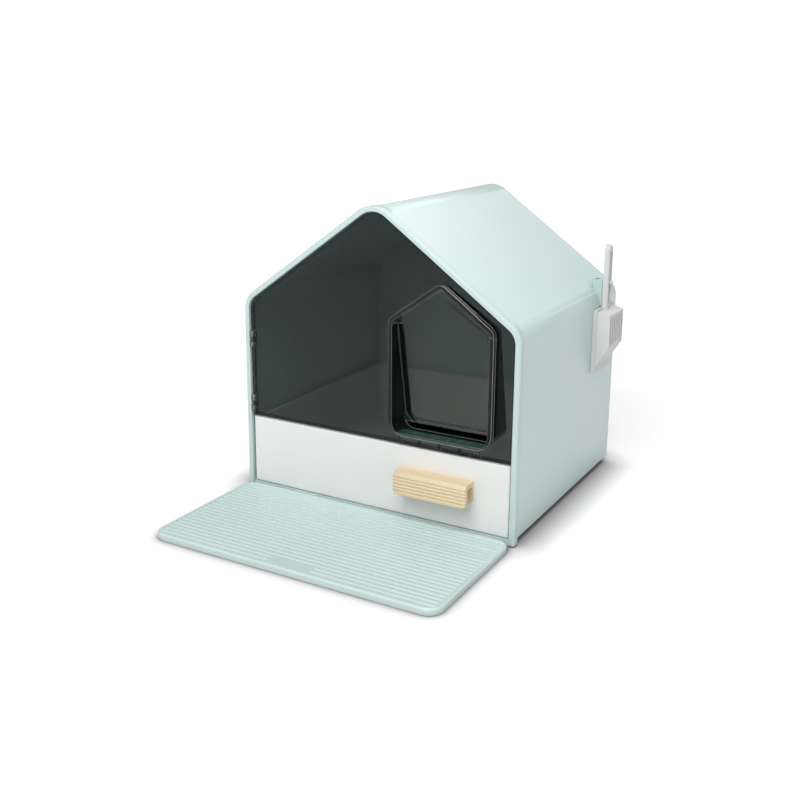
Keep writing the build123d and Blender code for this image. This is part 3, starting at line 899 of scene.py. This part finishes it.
@dataclass
class Pedal:
    """Ribbed plate in front of the house, with a bare pad in the middle of its front edge."""

    body: str = "pedal"
    edge: EdgeBreak = EdgeBreak.EASED
    # The plate's grooves, the first one measured from the front edge.
    first_groove: float = 10.4 * MM
    groove_pitch: float = 9.1 * MM
    groove_width: float = 4.2 * MM
    groove_floor: float = 1.8 * MM
    groove_depth: float = 1.5 * MM
    # The pad closes two grooves. It stands a hair proud, so that it shares no plane with the plate.
    pad_grooves: int = 2
    pad_width: float = 66.0 * MM
    pad_start: float = 5.0 * MM
    pad_end: float = 24.5 * MM
    pad_sink: float = 0.3 * MM
    pad_rise: float = 0.06 * MM

    def build(self) -> None:
        """Dress the plate and lay the pad in it."""
        mint = MINT_ABS.material()
        dress("pedal_plate", mint, self.edge)
        self.pad(mint)

    def pad(self, material: bpy.types.Material) -> None:
        """Close the first grooves in the middle of the front edge with a flush pad that keys into them.

        Args:
            material: the plate's finish.
        """
        low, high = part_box("pedal_plate")
        front, under, floor = low.y, high.z - self.pad_sink, high.z - self.groove_depth
        foot = self.groove_floor / 2
        mouth = self.groove_width / 2
        shoulder = mouth - (mouth - foot) * self.pad_sink / self.groove_depth
        outline = [(front + self.pad_start, high.z + self.pad_rise), (front + self.pad_start, under)]
        for step in range(self.pad_grooves):
            middle = front + self.first_groove + step * self.groove_pitch
            outline += [(middle - shoulder, under), (middle - foot, floor)]
            outline += [(middle + foot, floor), (middle + shoulder, under)]
        outline += [(front + self.pad_end, under), (front + self.pad_end, high.z + self.pad_rise)]
        bm = bmesh.new()
        ends = [[bm.verts.new((side * self.pad_width / 2, y, z)) for y, z in outline] for side in (-1, 1)]
        for end in ends:
            bm.faces.new(end)
        for step in range(len(outline)):
            bm.faces.new((ends[0][step - 1], ends[0][step], ends[1][step], ends[1][step - 1]))
        bmesh.ops.recalc_face_normals(bm, faces=bm.faces)
        mesh = free_to_mesh(bm, "pedal_front_pad")
        add_piece("pedal_front_pad", mesh, material, self.body, ())


@dataclass
class Scoop:
    """Slotted scoop on its hook."""

    edge: EdgeBreak = EdgeBreak.EASED

    def build(self) -> None:
        """Dress the scoop."""
        dress("litter_scoop", GREY_PP.material(), self.edge)


@dataclass(frozen=True)
class Softbox:
    """Square soft lamp: its place, the length of its side and its power."""

    name: str
    place: tuple[float, float, float]
    size: float
    watts: float


@dataclass(frozen=True)
class Studio:
    """Plain pale floor, a fill that is dimmer on the left and three large soft lamps."""

    floor_half: float = 60.0
    floor_drop: float = 0.0004
    # Paper as it lights the object, as it is looked at, and the painted shade where the object nearly touches
    # it.
    floor_colour: str = "#F8F8F8"
    seen_colour: str = "#BCBCBC"
    shade_colour: str = "#5E5A58"
    fill_colour: str = "#FFFFFF"
    fill: float = 0.49
    # Share of the fill that is left on the object's left, and the sideways range over which it fades.
    left_share: float = 0.4
    fade_from: float = -0.8
    fade_to: float = 0.2
    # Fill that shows in gloss.
    gloss_fill: float = 0.9
    # White added to the floor where it is looked at: little round the object, so that its shadow stays.
    near_white: float = 0.6
    far_white: float = 1.0
    near: float = 0.6
    far: float = 2.0
    # Width and depth of the painted shade, darkest next to the object, where the object meets the floor.
    shade_reach: float = 0.06
    shade_power: float = 2.0
    shade_samples: int = 16
    softboxes: tuple[Softbox, ...] = (
        Softbox("front_softbox", (0.1, -2.6, 2.2), size=2.0, watts=37.0),
        Softbox("overhead_softbox", (0.2, -1.1, 1.8), size=1.2, watts=17.0),
        Softbox("rear_softbox", (0.2, 2.3, 2.5), size=1.4, watts=17.0),
    )
    aim: tuple[float, float, float] = (0.0, -0.1, 0.2)

    def build(self) -> None:
        """Make the floor, the fill and the lamps."""
        self.floor()
        self.surroundings()
        for softbox in self.softboxes:
            self.hang(softbox)

    def floor(self) -> None:
        """Make the floor, with painted shade where the object comes close above it."""
        bm = bmesh.new()
        bmesh.ops.create_grid(bm, x_segments=1, y_segments=1, size=self.floor_half)
        mesh = free_to_mesh(bm, "studio_floor")
        material, tree, place = blank("studio_paper")
        # Painted shade: the paper's colour and its added white darken where the object is close above it.
        closeness = add_node(
            tree, "ShaderNodeAmbientOcclusion", {"Distance": self.shade_reach}, samples=self.shade_samples
        )
        shade_inputs = {0: closeness.outputs["AO"], 1: self.shade_power}
        shade = add_node(tree, "ShaderNodeMath", shade_inputs, operation="POWER").outputs[0]
        looked_at = seen_directly(tree, in_gloss=True)
        open_tone = add_node(
            tree,
            "ShaderNodeMix",
            {0: looked_at, 6: linear(self.floor_colour), 7: linear(self.seen_colour)},
            data_type="RGBA",
        )
        tone = add_node(
            tree,
            "ShaderNodeMix",
            {0: shade, 6: linear(self.shade_colour), 7: open_tone.outputs[2]},
            data_type="RGBA",
        )
        paper = add_node(tree, "ShaderNodeBsdfDiffuse", {"Color": tone.outputs[2]})
        distance = add_node(tree, "ShaderNodeVectorMath", {0: place}, operation="LENGTH").outputs["Value"]
        white = add_node(
            tree,
            "ShaderNodeMapRange",
            {
                "Value": distance,
                "From Min": self.near,
                "From Max": self.far,
                "To Min": self.near_white,
                "To Max": self.far_white,
            },
        )
        shown = {0: white.outputs[0], 1: looked_at}
        unshaded = add_node(tree, "ShaderNodeMath", shown, operation="MULTIPLY")
        strength = add_node(tree, "ShaderNodeMath", {0: unshaded.outputs[0], 1: shade}, operation="MULTIPLY")
        glow = add_node(tree, "ShaderNodeEmission", {"Strength": strength.outputs[0]})
        surface = add_node(tree, "ShaderNodeAddShader", {0: paper.outputs[0], 1: glow.outputs[0]})
        add_node(tree, "ShaderNodeOutputMaterial", {"Surface": surface.outputs[0]})
        mesh.materials.append(material)
        floor = bpy.data.objects.new("studio_floor", mesh)
        floor.location.z = -self.floor_drop
        bpy.context.scene.collection.objects.link(floor)

    def surroundings(self) -> None:
        """Make a fill that is dimmer on the left and looks white to the camera and through clear plastic."""
        world = bpy.data.worlds.new("studio_surroundings")
        world.use_nodes = True
        tree = world.node_tree
        tree.nodes.clear()
        way = add_node(tree, "ShaderNodeTexCoord", {}).outputs["Generated"]
        sideways = add_node(tree, "ShaderNodeSeparateXYZ", {0: way}).outputs["X"]
        side = add_node(
            tree,
            "ShaderNodeMapRange",
            {
                "Value": sideways,
                "From Min": self.fade_from,
                "From Max": self.fade_to,
                "To Min": self.left_share,
                "To Max": 1.0,
            },
        )
        in_gloss = add_node(tree, "ShaderNodeLightPath", {}).outputs["Is Glossy Ray"]
        level = add_node(
            tree, "ShaderNodeMapRange", {"Value": in_gloss, "To Min": self.fill, "To Max": self.gloss_fill}
        )
        lighting = {0: level.outputs[0], 1: side.outputs[0]}
        dimmed = add_node(tree, "ShaderNodeMath", lighting, operation="MULTIPLY")
        strength = add_node(
            tree,
            "ShaderNodeMapRange",
            {"Value": seen_directly(tree, in_gloss=False), "To Min": dimmed.outputs[0], "To Max": 1.0},
        )
        even = {"Strength": strength.outputs[0], "Color": linear(self.fill_colour)}
        light = add_node(tree, "ShaderNodeBackground", even)
        add_node(tree, "ShaderNodeOutputWorld", {"Surface": light.outputs[0]})
        bpy.context.scene.world = world

    def hang(self, softbox: Softbox) -> None:
        """Hang a lamp that lights the object and shows in its gloss, but not to the camera.

        Args:
            softbox: the lamp.
        """
        data = bpy.data.lights.new(softbox.name, "AREA")
        data.shape = "SQUARE"
        data.size = softbox.size
        data.energy = softbox.watts
        lamp = bpy.data.objects.new(softbox.name, data)
        lamp.location = softbox.place
        lamp.rotation_mode = "QUATERNION"
        lamp.rotation_quaternion = (Vector(self.aim) - Vector(softbox.place)).to_track_quat("-Z", "Y")
        lamp.visible_camera = False
        bpy.context.scene.collection.objects.link(lamp)


@dataclass(frozen=True)
class PhotoView:
    """Camera at the photograph's place, in front and to the right."""

    place: tuple[float, float, float] = (0.7241, -1.403, 0.6166)
    azimuth_deg: float = 29.411
    elevation_deg: float = 14.085
    roll_deg: float = 0.444
    lens_mm: float = 46.44
    sensor_mm: float = 36.0
    shift_up: float = -0.075

    def build(self) -> None:
        """Make the scene's camera."""
        azimuth, elevation = math.radians(self.azimuth_deg), math.radians(self.elevation_deg)
        level = math.cos(elevation)
        back = Vector((math.sin(azimuth) * level, -math.cos(azimuth) * level, math.sin(elevation)))
        data = bpy.data.cameras.new("photo_camera")
        data.lens = self.lens_mm
        data.sensor_width = self.sensor_mm
        data.shift_y = self.shift_up
        camera = bpy.data.objects.new("photo_camera", data)
        camera.location = self.place
        camera.rotation_mode = "QUATERNION"
        roll = Quaternion((0, 0, 1), math.radians(self.roll_deg))
        camera.rotation_quaternion = (-back).to_track_quat("-Z", "Y") @ roll
        bpy.context.scene.collection.objects.link(camera)
        bpy.context.scene.camera = camera


def main() -> None:
    """Build the pieces in order, light them and note the sizes."""
    logging.basicConfig(level=logging.INFO, format="%(message)s")
    for assembly in (House(), FrontDoor(), CatFlap(), Drawer(), Pedal(), Scoop(), Studio(), PhotoView()):
        assembly.build()
        log.info("%s done", type(assembly).__name__)
    bpy.context.scene.view_settings.view_transform = "Standard"


if __name__ == "__main__":
    main()
